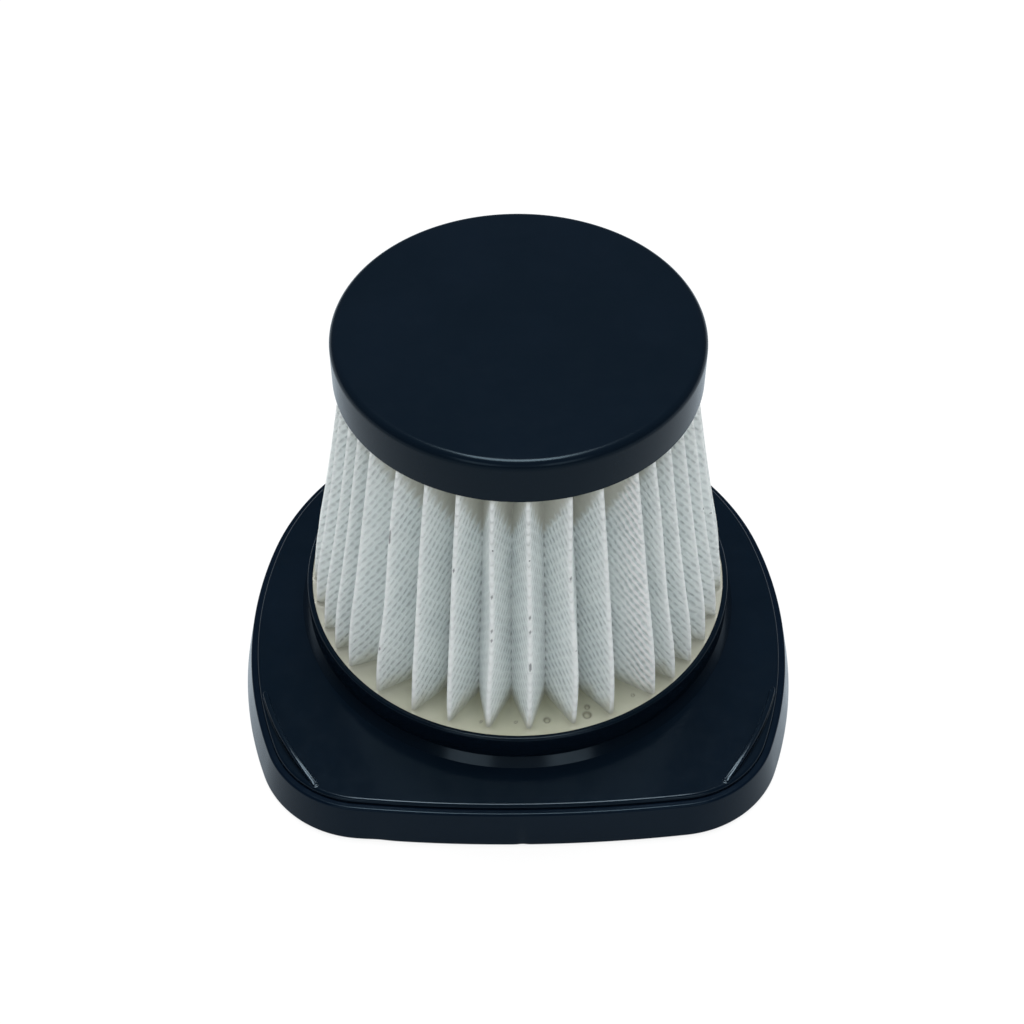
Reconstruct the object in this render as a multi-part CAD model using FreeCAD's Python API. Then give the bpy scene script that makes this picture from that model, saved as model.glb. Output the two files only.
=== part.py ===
"""Cone-shaped pleated air filter of a vacuum cleaner, on a D-shaped base.

Millimetres, +Z up. The origin is on the filter's axis, in the plane that the seal stands on.
The flatter side of the base faces -Y.
"""
import FreeCAD
import Part
import os
from math import acos, atan2, ceil, cos, degrees, floor, hypot, pi, radians, sin, sqrt

ROUND_STEPS = 3  # straight steps in each rounded edge

# Base outline, seen from above, at the upper edge of the seal
BACK_R = 51.4  # round back, centred on the filter's axis
BACK_END = radians(15.3)  # where the back runs into the sides, up from the X axis
SIDE_R = 83.8
CORNER_R = 20.0
FRONT_R = 274.0
FRONT_DEPTH = 52.6  # from the axis to the middle of the front

# Seal: a soft flared skirt around the edge of the base
SEAL_HEIGHT = 7.7
SEAL_LEDGE = 1.25  # flat top of the seal, outside the edge of the base plate
SEAL_FLARE = 1.6  # how far the lower edge stands out past the upper one
SEAL_SOLE = 1.0  # thickness under the flange

# Base frame: plate, flange, collar and outlet wall in one moulding
PLATE_STEP = 1.05  # plate above the seal's ledge
PLATE_T = 1.8
FLANGE_T = 1.7
COLLAR_R = 40.5  # inside
COLLAR_T = 1.05
COLLAR_HEIGHT = 7.0  # above the plate
COLLAR_FOOT = 1.55  # round foot outside
OUTLET_R = 28.0
OUTLET_WALL_T = 1.2

# Thin raised rib in each front corner of the plate
RIB_T = 1.0
RIB_HEIGHT = 1.9
RIB_INSET = 0.5  # ends of the rib, inside the edge of the plate
RIB_R = 54.0
RIB_START = radians(-28.6)  # directions of the two ends, from the axis
RIB_END = radians(-50.6)

# Top cap
CAP_GAP = 54.0  # from the collar's upper edge to the cap's lower edge
CAP_HEIGHT = 8.8
CAP_R = 32.65
CAP_WALL = 1.2
CAP_TOP_T = 1.4
CAP_ROUND = 1.5

# Pleated media: one folded strip, upright at its foot and closed to a cone above
PLEATS = 36
PLEAT_DEPTH = 8.0
PLEAT_PHASE = radians(2.2)  # first outer fold, from the front towards +X
PLEAT_CROWDING = radians(3.3)  # folds stand closer at the sides than at the front and back
MEDIA_T = 0.5
FOLD_WIDTH = 0.5  # flat crest of each fold
FOOT_PLAY = 1.45  # outer folds inside the collar
MOUTH_PLAY = 0.25  # outer folds inside the cap
UPRIGHT_FOOT = 8.0  # height above the lower potting where the folds start to lean in
MEDIA_END_GAP = 0.8  # ends of the strip above the trough and below the cap

# Degrees by which outer folds stand off their even places, from the left side round the front to the right
FOLD_DRIFT = (1.1, -0.6, -2.6, -0.5, 0.4, 0.3, 0.5, 0.2, 1.6, 1.3, 3.7, 1.0, -1.1, -2.1, -1.9)

# Potting that holds the ends of the media
LOWER_POTTING_BELOW_COLLAR = 0.8
UPPER_POTTING_DEPTH = 4.6

# Levels and radii that follow from the sizes above
LEDGE_Z = SEAL_HEIGHT
PLATE_Z = LEDGE_Z + PLATE_STEP
PLATE_UNDER_Z = PLATE_Z - PLATE_T
COLLAR_Z = PLATE_Z + COLLAR_HEIGHT
LOWER_POTTING_Z = COLLAR_Z - LOWER_POTTING_BELOW_COLLAR
CAP_LOW_Z = COLLAR_Z + CAP_GAP
CAP_Z = CAP_LOW_Z + CAP_HEIGHT
CAP_UNDER_Z = CAP_Z - CAP_TOP_T
CAP_INNER_R = CAP_R - CAP_WALL
UPPER_POTTING_Z = CAP_UNDER_Z - UPPER_POTTING_DEPTH
OUTLET_WALL_R = OUTLET_R + OUTLET_WALL_T
MEDIA_LOW_Z = PLATE_Z + MEDIA_END_GAP
MEDIA_KNEE_Z = LOWER_POTTING_Z + UPRIGHT_FOOT
MEDIA_FOOT_R = COLLAR_R - FOOT_PLAY
MEDIA_MOUTH_R = CAP_INNER_R - MOUTH_PLAY
MEDIA_HIGH_Z = CAP_UNDER_Z - MEDIA_END_GAP


def polar(radius, angle, z, centre=(0.0, 0.0)):
    """Point at a radius and an angle from a centre."""
    return FreeCAD.Vector(centre[0] + radius * cos(angle), centre[1] + radius * sin(angle), z)


def arc(centre, radius, start, end, z):
    """Arc edge about a vertical axis, from one angle to another."""
    points = [polar(radius, a, z, centre) for a in (start, (start + end) / 2, end)]
    return Part.Arc(*points).toShape()


def outline_arcs():
    """The arcs of the base outline, each as centre, radius, first and last angle."""
    side = ((BACK_R - SIDE_R) * cos(BACK_END), (BACK_R - SIDE_R) * sin(BACK_END))
    front = (0.0, FRONT_R - FRONT_DEPTH)
    # The corner's centre lies on two circles, about the side's and the front's centres
    from_side = SIDE_R - CORNER_R
    from_front = FRONT_R - CORNER_R
    apart = hypot(front[0] - side[0], front[1] - side[1])
    towards = atan2(front[1] - side[1], front[0] - side[0])
    swing = acos((from_side ** 2 + apart ** 2 - from_front ** 2) / (2 * from_side * apart))
    at = polar(from_side, towards - swing, 0.0, side)
    corner = (at.x, at.y)
    corner_start = towards - swing
    corner_end = atan2(corner[1] - front[1], corner[0] - front[0])
    right = [
        (side, SIDE_R, BACK_END, corner_start),
        (corner, CORNER_R, corner_start, corner_end),
    ]
    left = [((-c[0], c[1]), r, -pi - b, -pi - a) for c, r, a, b in reversed(right)]
    front_arc = [(front, FRONT_R, corner_end, -pi - corner_end)]
    back_arc = [((0.0, 0.0), BACK_R, -pi - BACK_END, BACK_END - 2 * pi)]
    return right + front_arc + left + back_arc


def outline_face(offset, z):
    """Flat face inside the base outline, grown by an offset."""
    edges = [arc(c, r + offset, a, b, z) for c, r, a, b in outline_arcs()]
    return Part.Face(Part.Wire(edges))


def along_outline(profile):
    """Solid that carries a profile of (offset, z) edges around the base outline."""
    stretches = []
    for centre, radius, start, end in outline_arcs():
        pivot = FreeCAD.Vector(centre[0], centre[1], 0)
        face = profile.copy()
        face.translate(FreeCAD.Vector(centre[0] + radius, centre[1], 0))
        face.rotate(pivot, FreeCAD.Vector(0, 0, 1), degrees(start))
        stretches.append(face.revolve(pivot, FreeCAD.Vector(0, 0, 1), degrees(end - start)))
    return stretches[0].multiFuse(stretches[1:]).removeSplitter().Solids[0]


def section(points, rounds=()):
    """Upright face through (x, z) points; rounds gives a corner's number and its radius."""
    corners = [FreeCAD.Vector(x, 0, z) for x, z in points]
    radii = dict(rounds)
    outline = []
    for i, corner in enumerate(corners):
        if i not in radii:
            outline.append(corner)
            continue
        before = (corners[i - 1] - corner).normalize()
        after = (corners[(i + 1) % len(corners)] - corner).normalize()
        half = before.getAngle(after) / 2
        centre = corner + (before + after).normalize() * (radii[i] / sin(half))
        first = corner + before * (radii[i] * cos(half) / sin(half)) - centre
        last = corner + after * (radii[i] * cos(half) / sin(half)) - centre
        spin = FreeCAD.Rotation(first, last)
        for step in range(ROUND_STEPS + 1):
            part_turn = FreeCAD.Rotation().slerp(spin, step / ROUND_STEPS)
            outline.append(centre + part_turn.multVec(first))
    return Part.Face(Part.makePolygon(outline + outline[:1]))


def turned(points, rounds=()):
    """Solid of revolution about the filter's axis, from (radius, z) points."""
    face = section(points, rounds)
    return face.revolve(FreeCAD.Vector(0, 0, 0), FreeCAD.Vector(0, 0, 1), 360)


def ring(inner, outer, low, high):
    """Plain round ring."""
    return turned([(inner, low), (outer, low), (outer, high), (inner, high)])


def rim_seal():
    """Soft flared skirt that lies around the flange and under its lower edge."""
    flange_out = -SEAL_LEDGE
    flange_in = flange_out - FLANGE_T
    profile = section(
        [
            (flange_out, LEDGE_Z),
            (0.0, LEDGE_Z),
            (SEAL_FLARE, 0.0),
            (flange_in, 0.0),
            (flange_in, SEAL_SOLE),
            (flange_out, SEAL_SOLE),
        ]
    )
    return along_outline(profile)


def flange():
    """Wall under the edge of the plate, which the seal lies around."""
    out = -SEAL_LEDGE
    inside = out - FLANGE_T
    return along_outline(section([(inside, SEAL_SOLE), (out, SEAL_SOLE), (out, PLATE_Z), (inside, PLATE_Z)]))


def collar():
    """Round wall around the foot of the media, with a rounded foot on the plate."""
    outside = COLLAR_R + COLLAR_T
    return turned(
        [
            (COLLAR_R, PLATE_UNDER_Z),
            (outside + 2 * COLLAR_FOOT, PLATE_UNDER_Z),
            (outside + 2 * COLLAR_FOOT, PLATE_Z),
            (outside, PLATE_Z),
            (outside, COLLAR_Z),
            (COLLAR_R, COLLAR_Z),
        ],
        [(3, COLLAR_FOOT)],
    )


def edge_point(direction):
    """Point on the edge of the plate, in a direction from the axis, less the rib's inset."""
    edge = outline_face(-SEAL_LEDGE, PLATE_Z).OuterWire
    far = polar(2 * FRONT_DEPTH + 2 * BACK_R, direction, PLATE_Z)
    ray = Part.makeLine(FreeCAD.Vector(0, 0, PLATE_Z), far)
    crossing = ray.distToShape(edge)[1][0][0]
    return polar(hypot(crossing.x, crossing.y) - RIB_INSET - RIB_T / 2, direction, PLATE_Z)


def corner_rib():
    """Thin curved rib with round ends, in the right front corner."""
    start = edge_point(RIB_START)
    end = edge_point(RIB_END)
    chord = (start - end).Length
    along = atan2(start.y - end.y, start.x - end.x)
    rise = sqrt(RIB_R ** 2 - chord ** 2 / 4)
    centre = ((start.x + end.x) / 2 - rise * sin(along), (start.y + end.y) / 2 + rise * cos(along))
    first = atan2(start.y - centre[1], start.x - centre[0])
    last = atan2(end.y - centre[1], end.x - centre[0])
    half = RIB_T / 2
    edges = [
        arc(centre, RIB_R + half, first, last, PLATE_Z),
        arc((end.x, end.y), half, last, last - pi, PLATE_Z),
        arc(centre, RIB_R - half, last, first, PLATE_Z),
        arc((start.x, start.y), half, first + pi, first, PLATE_Z),
    ]
    return Part.Face(Part.Wire(edges)).extrude(FreeCAD.Vector(0, 0, RIB_HEIGHT))


def base_frame():
    """Plate with its flange, collar, outlet wall and two corner ribs, in one moulding."""
    inside_flange = -SEAL_LEDGE - FLANGE_T
    plate = outline_face(inside_flange, PLATE_UNDER_Z).extrude(FreeCAD.Vector(0, 0, PLATE_T))
    outlet_wall = ring(OUTLET_R, OUTLET_WALL_R, PLATE_UNDER_Z, COLLAR_Z)
    rib = corner_rib()
    opposite = rib.mirror(FreeCAD.Vector(0, 0, 0), FreeCAD.Vector(1, 0, 0))
    whole = plate.multiFuse([flange(), collar(), outlet_wall, rib, opposite])
    bore = Part.makeCylinder(OUTLET_R, PLATE_Z + COLLAR_Z)
    return whole.cut(bore).removeSplitter().Solids[0]


def media_scale(z):
    """Size of the zigzag at a level: whole up to the knee, smaller up the cone."""
    rise = max(0.0, z - MEDIA_KNEE_Z)
    return 1 - (1 - MEDIA_MOUTH_R / MEDIA_FOOT_R) * rise / (CAP_LOW_Z - MEDIA_KNEE_Z)


def fold_direction(fold):
    """Direction of a fold from the axis; outer folds have even numbers, 0 stands at the front."""
    turn = pi * fold / PLEATS
    place = fold / 2 + len(FOLD_DRIFT) // 2
    drift = [FOLD_DRIFT[i] if 0 <= i < len(FOLD_DRIFT) else 0.0 for i in (floor(place), ceil(place))]
    return PLEAT_PHASE - pi / 2 + turn + PLEAT_CROWDING * sin(2 * turn) + radians(sum(drift) / 2)


def pleat_points(z):
    """Corners of the zigzag at one level, through the middle of the sheet: two at each fold."""
    scale = media_scale(z)
    tip_r = (MEDIA_FOOT_R - MEDIA_T / 2) * scale
    points = []
    for fold in range(-PLEATS, PLEATS):
        direction = fold_direction(fold)
        middle = polar(tip_r - PLEAT_DEPTH * scale * (fold % 2), direction, z)
        across = polar(FOLD_WIDTH * scale / 2, direction + pi / 2, 0.0)
        points.append(middle - across)
        points.append(middle + across)
    return points


def sheet_corners(z, side):
    """Corners of the zigzag at one level, on one face of the sheet."""
    middle = pleat_points(z)
    offset = side * MEDIA_T * media_scale(z) / 2
    corners = []
    for i, point in enumerate(middle):
        before = (point - middle[i - 1]).normalize()
        after = (middle[(i + 1) % len(middle)] - point).normalize()
        first = FreeCAD.Vector(before.y, -before.x, 0)
        second = FreeCAD.Vector(after.y, -after.x, 0)
        corners.append(point + (first + second) * (offset / (1 + first.dot(second))))
    return corners + corners[:1]


def pleated_media():
    """Folded strip, upright up to its knee and conical above it."""
    levels = (MEDIA_LOW_Z, MEDIA_KNEE_Z, MEDIA_HIGH_Z)
    skins = [[sheet_corners(z, side) for z in levels] for side in (1, -1)]
    faces = []
    for skin in skins:
        for low, high in zip(skin, skin[1:]):
            for i in range(len(low) - 1):
                corners = [low[i], low[i + 1], high[i + 1], high[i], low[i]]
                faces.append(Part.Face(Part.makePolygon(corners)))
    for end in (0, -1):
        edges = [Part.makePolygon(skin[end]) for skin in skins]
        faces.append(Part.makeFace(edges, "Part::FaceMakerBullseye"))
    shell = Part.makeShell(faces)
    shell.sewShape()
    return Part.makeSolid(shell)


def lower_potting(media):
    """Ring of set resin in the trough, between collar and outlet wall, cast round the media."""
    return ring(OUTLET_WALL_R, COLLAR_R, PLATE_Z, LOWER_POTTING_Z).cut(media).Solids[0]


def upper_potting(media):
    """Disc of set resin in the cap, cast round the upper end of the media."""
    return ring(0.0, CAP_INNER_R, UPPER_POTTING_Z, CAP_UNDER_Z).cut(media).Solids[0]


def top_cap():
    """Round cap with a rounded upper edge and a short wall."""
    return turned(
        [
            (0.0, CAP_Z),
            (CAP_R, CAP_Z),
            (CAP_R, CAP_LOW_Z),
            (CAP_INNER_R, CAP_LOW_Z),
            (CAP_INNER_R, CAP_UNDER_Z),
            (0.0, CAP_UNDER_Z),
        ],
        [(1, CAP_ROUND)],
    )


def main():
    media = pleated_media()
    nodes = {
        "base_frame": base_frame(),
        "rim_seal": rim_seal(),
        "pleated_media": media,
        "lower_potting": lower_potting(media),
        "upper_potting": upper_potting(media),
        "top_cap": top_cap(),
    }
    os.makedirs("parts", exist_ok=True)
    for name, shape in nodes.items():
        shape.exportStep("parts/" + name + ".step")
        print(name, shape.isValid(), len(shape.Solids), round(shape.Volume, 1))


main()
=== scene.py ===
"""Looks of a cone-shaped pleated vacuum filter on a D-shaped base.

Metres, +Z up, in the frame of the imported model: the filter's axis is X = Y = 0 and the flatter
side of the base faces -Y. Sizes in the tables of values below are millimetres times MM, and
colours are linear.
"""
from math import acos, atan2, cos, hypot, pi, radians, sin, sqrt, tan

import bpy
import numpy as np
from mathutils import Matrix, Vector


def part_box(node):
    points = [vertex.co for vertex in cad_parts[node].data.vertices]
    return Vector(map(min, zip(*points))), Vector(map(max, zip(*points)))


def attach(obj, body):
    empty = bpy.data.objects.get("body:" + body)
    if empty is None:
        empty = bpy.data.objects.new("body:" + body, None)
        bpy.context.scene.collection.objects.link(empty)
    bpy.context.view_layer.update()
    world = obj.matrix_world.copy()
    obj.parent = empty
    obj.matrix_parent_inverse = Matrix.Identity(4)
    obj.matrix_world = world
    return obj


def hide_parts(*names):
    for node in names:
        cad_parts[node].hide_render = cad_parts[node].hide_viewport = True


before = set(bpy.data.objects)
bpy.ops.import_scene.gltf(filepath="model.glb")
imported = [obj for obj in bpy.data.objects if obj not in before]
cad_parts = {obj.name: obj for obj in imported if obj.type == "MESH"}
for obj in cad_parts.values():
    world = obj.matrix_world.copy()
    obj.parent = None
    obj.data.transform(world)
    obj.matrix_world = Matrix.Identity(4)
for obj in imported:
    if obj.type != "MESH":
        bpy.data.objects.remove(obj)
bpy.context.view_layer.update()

MM = 0.001
rng = np.random.default_rng(7)

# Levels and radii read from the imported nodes
base_low, base_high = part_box("base_frame")
media_low, media_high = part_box("pleated_media")
trough_low, trough_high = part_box("lower_potting")
resin_low, resin_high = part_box("upper_potting")
cap_low, cap_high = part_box("top_cap")
LEDGE_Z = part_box("rim_seal")[1].z
SOLE_Z = base_low.z
COLLAR_Z = base_high.z
PLATE_Z = trough_low.z
LOWER_RESIN_Z = trough_high.z
UPPER_RESIN_Z = resin_low.z
CAP_LOW_Z = cap_low.z
CAP_UNDER_Z = resin_high.z
CAP_Z = cap_high.z
COLLAR_R = trough_high.x
CAP_R = cap_high.x
CAP_INNER_R = resin_high.x

# Base outline, seen from above, at the upper edge of the seal
BACK_R = 51.4 * MM
BACK_END = radians(15.3)
SIDE_R = 83.8 * MM
CORNER_R = 20.0 * MM
FRONT_R = 274.0 * MM
FRONT_DEPTH = 52.6 * MM
OUTLINE_POINTS = 1200
LEAST_ARC_POINTS = 24

# Rounded edges: steps, and the share of the radius at which a line of points holds the flat beside
EDGE_STEPS = 6
EDGE_SUPPORT = 0.15
SHARP = radians(40)

# Seal
SEAL_LEDGE = 1.25 * MM
SEAL_FLARE = 1.6 * MM
SEAL_EDGE = 0.5 * MM
SEAL_FOOT_EDGE = 0.35 * MM
SEAL_HEEL_EDGE = 0.2 * MM
SEAL_LIP_EDGE = 0.1 * MM
# Nick and dent in the lower front edge: place along X, half width, half height, depth
SEAL_MARKS = (
    (0.2 * MM, 0.8 * MM, 0.3 * MM, 0.22 * MM),
    (-26.5 * MM, 2.2 * MM, 2.2 * MM, 0.12 * MM),
)

# Base frame
BASE_SHARP = radians(24)
PLATE_T = 1.8 * MM
FLANGE_T = 1.7 * MM
PLATE_EDGE = 0.6 * MM
COLLAR_T = 1.05 * MM
COLLAR_FOOT_OUT = 1.41 * MM
COLLAR_FOOT_UP = 1.69 * MM
COLLAR_FOOT_EDGE = 0.15 * MM
COLLAR_EDGE = 0.48 * MM
OUTLET_R = 28.0 * MM
OUTLET_WALL_T = 1.2 * MM
OUTLET_OUT_R = OUTLET_R + OUTLET_WALL_T
WALL_EDGE = 0.2 * MM
RIB_T = 1.0 * MM
RIB_HEIGHT = 1.9 * MM
RIB_INSET = 0.5 * MM
RIB_R = 54.0 * MM
RIB_START = radians(-28.6)
RIB_END = radians(-50.6)
RIB_EDGE = 0.3 * MM
RIB_FOOT = 0.35 * MM
RIB_ROOT = 0.2 * MM
RIB_RAMP = 9.0 * MM
RIB_RAMP_DROP = 1.6 * MM
RIB_FOOT_STEPS = 5
RIB_EDGE_STEPS = 6

# Top cap
CAP_ROUND = 1.5 * MM
CAP_ROUND_STEPS = 10
CAP_LIP = 0.2 * MM
CAP_STEPS = 288

# Pleated media
PLEATS = 36
FOLDS = 2 * PLEATS
PLEAT_DEPTH = 8.0 * MM
PLEAT_PHASE = radians(2.2)
PLEAT_CROWDING = radians(3.3)
MEDIA_T = 0.5 * MM
MEDIA_SHARP = radians(80)
FOLD_WIDTH = 0.34 * MM
FOLD_BLEND = 0.32 * MM
FOOT_PLAY = 1.45 * MM
MOUTH_PLAY = 0.25 * MM
# Foot pressed wider, from an angle off the front and growing over another
FOOT_SPREAD = 1.1 * MM
FOOT_SPREAD_REACH = 36.0 * MM
FOOT_SPREAD_FROM = radians(10)
FOOT_SPREAD_OVER = radians(32)
UPRIGHT_FOOT = 8.0 * MM
KNEE_REACH = 7.0 * MM
MEDIA_ROWS = 60
FOOT_ROWS = 3
FOLD_STEPS = 4
WALL_STEPS = 5
FOLD_POINTS = FOLD_STEPS + WALL_STEPS
# Slow sideways sway of each fold up its height: degrees, waves, start
FOLD_SWAY = (
    rng.uniform(0.1, 0.45, FOLDS),
    rng.uniform(0.5, 1.6, FOLDS),
    rng.uniform(0, 1, FOLDS),
)
# Degrees by which outer folds stand off their even places, from the left round the front
FOLD_DRIFT = (1.1, -0.6, -2.6, -0.5, 0.4, 0.3, 0.5, 0.2, 1.6, 1.3, 3.7, 1.0, -1.1, -2.1, -1.9)

# Bonding dots of the media
DOT_PITCH_ACROSS = 2.15 * MM
DOT_PITCH_ALONG = 2.3 * MM
DOT_LENGTH = 1.7 * MM
DOT_WIDTH = 0.85 * MM
DOT_TURN = radians(48)
DOT_FADE = 1.35

# Marks of the media: resin drawn up at the foot and down from the cap with painted shade under it,
# painted highlight on the crests and painted shade in the creases, shine with painted glints, and
# grit
SOAKED_MOST = 0.85
SOAKED_FROM = 0.9 * MM
SOAKED_OVER = 3.0 * MM
SOAKED_RAGGED = 0.8 * MM
# Resin drawn down from the cap, darkened further as painted shade under the cap: its share, reach
# at the crests, more reach in the valleys, and fade
WET_SHADE_MOST = 0.92
WET_SHADE_REACH = 2.0 * MM
WET_SHADE_REACH_MORE = 13.0 * MM
WET_SHADE_OVER = 0.8 * MM
FOLD_SHARE = 0.07
# Outer fold after which one wall has lower roughness and painted white glints
SHINY_GLINT_FOLD = 4
GRIT_FADE = 0.55
# Dark grit caught on outer folds: fold counted from the front one, level
FOLD_GRIT = (
    (-4, 52.0 * MM),
    (-4, 53.3 * MM),
    (-4, 54.6 * MM),
    (-4, 27.0 * MM),
    (-2, 51.8 * MM),
    (-1, 47.7 * MM),
    (-1, 40.2 * MM),
    (-1, 38.0 * MM),
    (0, 43.4 * MM),
    (0, 39.7 * MM),
    (0, 33.0 * MM),
    (0, 31.6 * MM),
    (1, 51.0 * MM),
)

# Resins, with the height and reach of each meniscus
LOWER_RESIN_STEPS = 1200
LOWER_RESIN_RINGS = 58
LOWER_RESIN_SINK = 0.1 * MM
LOWER_MENISCUS = (0.75 * MM, 0.45 * MM)
WALL_MENISCUS = (0.35 * MM, 0.5 * MM)
UPPER_RESIN_STEPS = 720
UPPER_RESIN_RINGS = 64
UPPER_RESIN_EYE = 0.2 * MM
UPPER_MENISCUS = (0.8 * MM, 0.5 * MM)
# Painted shade on the resin, growing towards the left and right sides by this power
SIDE_SHADE_POWER = 1.5
# Painted shade in a ring inside each bubble: its strongest share
PIT_SHADE_MOST = 0.8
# Bubbles in the lower resin: distance from the axis, direction, radius
BUBBLES = (
    (36.85 * MM, radians(-82.3), 0.62 * MM),
    (37.55 * MM, radians(-70.7), 0.8 * MM),
    (35.85 * MM, radians(-69.6), 0.5 * MM),
    (37.5 * MM, radians(-55.6), 0.35 * MM),
    (36.9 * MM, radians(-91.3), 0.3 * MM),
    (37.5 * MM, radians(-101.2), 0.28 * MM),
)
# Shape of a bubble, in its radii, with the place of the painted shade ring inside it
BUBBLE_DEPTH = 0.5
BUBBLE_LIP = 0.12
BUBBLE_LIP_AT = 1.1
BUBBLE_SHADE_AT = 0.85
BUBBLE_BAND = 0.3

# Colours
WHITE = (1, 1, 1, 1)
DUST_COLOUR = (0.05, 0.055, 0.06, 1)
MEDIA_DARK = (0.795, 0.857, 0.852, 1)
MEDIA_LIGHT = (0.857, 0.914, 0.903, 1)
DOT_COLOUR = (0.52, 0.565, 0.57, 1)
# Painted highlight on the fold crests
CREST_HIGHLIGHT_COLOUR = (0.9, 0.93, 0.92, 1)
# Painted shade in the creases
CREASE_SHADE_COLOUR = (0.33, 0.37, 0.37, 1)
# Resin drawn down from the cap, with painted shade under the cap
WET_SHADE_COLOUR = (0.52, 0.53, 0.47, 1)
SOAKED_COLOUR = (0.62, 0.63, 0.545, 1)
DIRT_COLOUR = (0.05, 0.05, 0.055, 1)
GRIT_COLOUR = (0.17, 0.18, 0.185, 1)
RESIN_DARK = (0.6, 0.605, 0.465, 1)
RESIN_LIGHT = (0.67, 0.675, 0.535, 1)
# Painted shade on the resin towards the sides
SIDE_SHADE_COLOUR = (0.4, 0.4, 0.345, 1)
# Painted shade in the ring inside each bubble
PIT_SHADE_COLOUR = (0.22, 0.21, 0.15, 1)

# Camera, from the photograph's perspective
CAMERA_AT = Vector((-3.87, -233.92, 284.99)) * MM
CAMERA_AIM = Vector((0.0, 0.0, COLLAR_Z))
CAMERA_LENS = 63.28
CAMERA_SENSOR = 36.0
CAMERA_NEAR = 0.01
CAMERA_ROLL = radians(0.226)
CAMERA_SHIFT = (-0.00553, 0.0553)

# Floor
FLOOR_REACH = 6.0
FLOOR_Z = -0.02 * MM
FLOOR_COLOUR = (0.92, 0.92, 0.92, 1)
FLOOR_MIRRORED = (0.68, 0.82, 0.94, 1)
FLOOR_GLOW = 0.82

# Lamp and room
LAMP_AT = Vector((0.0, 0.2, 1.1))
LAMP_WIDTH = 0.36
LAMP_DEPTH = 0.45
LAMP_ENERGY = 13.5
ROOM_COLOUR = (0.95, 0.98, 1.0, 1)
ROOM_LIGHT = 0.43
# Room in mirror reflections: where its front fades in, its light, and a window with a dim middle
FRONT_FADE = (-0.1, 0.15)
MIRRORED_BACK = 0.12
MIRRORED_FRONT = 0.05
WINDOW_LIGHT = 3.2
WINDOW_MIDDLE = 0.25
WINDOW_MIDDLE_EDGE = (0.16, 0.26)
WINDOW_SIDE_EDGE = (0.46, 0.52)
WINDOW_LOW_EDGE = (0.28, 0.36)
WINDOW_HIGH_EDGE = (0.6, 0.68)

# Places of the sockets of a colour mix, which share their names with those for other data
MIX_FACTOR, MIX_FIRST, MIX_SECOND, MIX_RESULT = 0, 6, 7, 2


def outline_arcs():
    """Arcs of the base outline, each as centre, radius, first and last angle."""
    side = ((BACK_R - SIDE_R) * cos(BACK_END), (BACK_R - SIDE_R) * sin(BACK_END))
    front = (0.0, FRONT_R - FRONT_DEPTH)
    from_side = SIDE_R - CORNER_R
    from_front = FRONT_R - CORNER_R
    apart = hypot(front[0] - side[0], front[1] - side[1])
    towards = atan2(front[1] - side[1], front[0] - side[0])
    swing = acos((from_side ** 2 + apart ** 2 - from_front ** 2) / (2 * from_side * apart))
    corner_start = towards - swing
    corner = (side[0] + from_side * cos(corner_start), side[1] + from_side * sin(corner_start))
    corner_end = atan2(corner[1] - front[1], corner[0] - front[0])
    right = [(side, SIDE_R, BACK_END, corner_start), (corner, CORNER_R, corner_start, corner_end)]
    left = [((-c[0], c[1]), r, -pi - b, -pi - a) for c, r, a, b in reversed(right)]
    front_arc = [(front, FRONT_R, corner_end, -pi - corner_end)]
    back_arc = [((0.0, 0.0), BACK_R, -pi - BACK_END, BACK_END - 2 * pi)]
    return right + front_arc + left + back_arc


def outline_points():
    """Points of the base outline and their outward directions, anticlockwise."""
    arcs = outline_arcs()
    lengths = [r * (a - b) for _, r, a, b in arcs]
    points = []
    normals = []
    for (centre, radius, start, end), length in zip(arcs, lengths):
        count = max(LEAST_ARC_POINTS, round(OUTLINE_POINTS * length / sum(lengths)))
        angles = start + (end - start) * np.arange(count) / count
        normals.append(np.stack([np.cos(angles), np.sin(angles)], axis=1))
        points.append(np.array(centre) + radius * normals[-1])
    return np.concatenate(points)[::-1], np.concatenate(normals)[::-1]


OUTLINE, OUTLINE_NORMALS = outline_points()
OUTLINE_ANGLES = np.arctan2(OUTLINE[:, 1], OUTLINE[:, 0])


def d_ring(offset, z):
    """Ring of points along the base outline, grown by an offset."""
    flat = OUTLINE + OUTLINE_NORMALS * offset
    return np.column_stack([flat, np.full(len(flat), z)])


def round_ring(radius, z, angles=OUTLINE_ANGLES):
    """Ring of points around the filter's axis."""
    level = np.full(len(angles), z)
    return np.column_stack([radius * np.cos(angles), radius * np.sin(angles), level])


def even_angles(steps):
    """Even directions around the axis, clockwise."""
    return -2 * pi * np.arange(steps) / steps


def rounded(corners, radii, steps=EDGE_STEPS):
    """Profile of (offset, z) corners, each rounded by its own radius; 0 keeps it sharp."""
    corners = [np.array(c, float) for c in corners]
    profile = []
    for i, corner in enumerate(corners):
        if radii[i] == 0:
            profile.append(corner)
            continue
        before = corners[i - 1] - corner
        after = corners[(i + 1) % len(corners)] - corner
        before /= np.linalg.norm(before)
        after /= np.linalg.norm(after)
        half = acos(np.clip(before @ after, -1, 1)) / 2
        reach = radii[i] / tan(half)
        bisector = (before + after) / np.linalg.norm(before + after)
        centre = corner + bisector * radii[i] / sin(half)
        first = corner + before * reach - centre
        last = corner + after * reach - centre
        spread = acos(np.clip(first @ last / radii[i] ** 2, -1, 1))
        support = EDGE_SUPPORT * radii[i]
        profile.append(centre + first + before * support)
        for step in range(steps + 1):
            t = step / steps
            arm = (sin((1 - t) * spread) * first + sin(t * spread) * last) / sin(spread)
            profile.append(centre + arm)
        profile.append(centre + last + after * support)
    return profile


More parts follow.
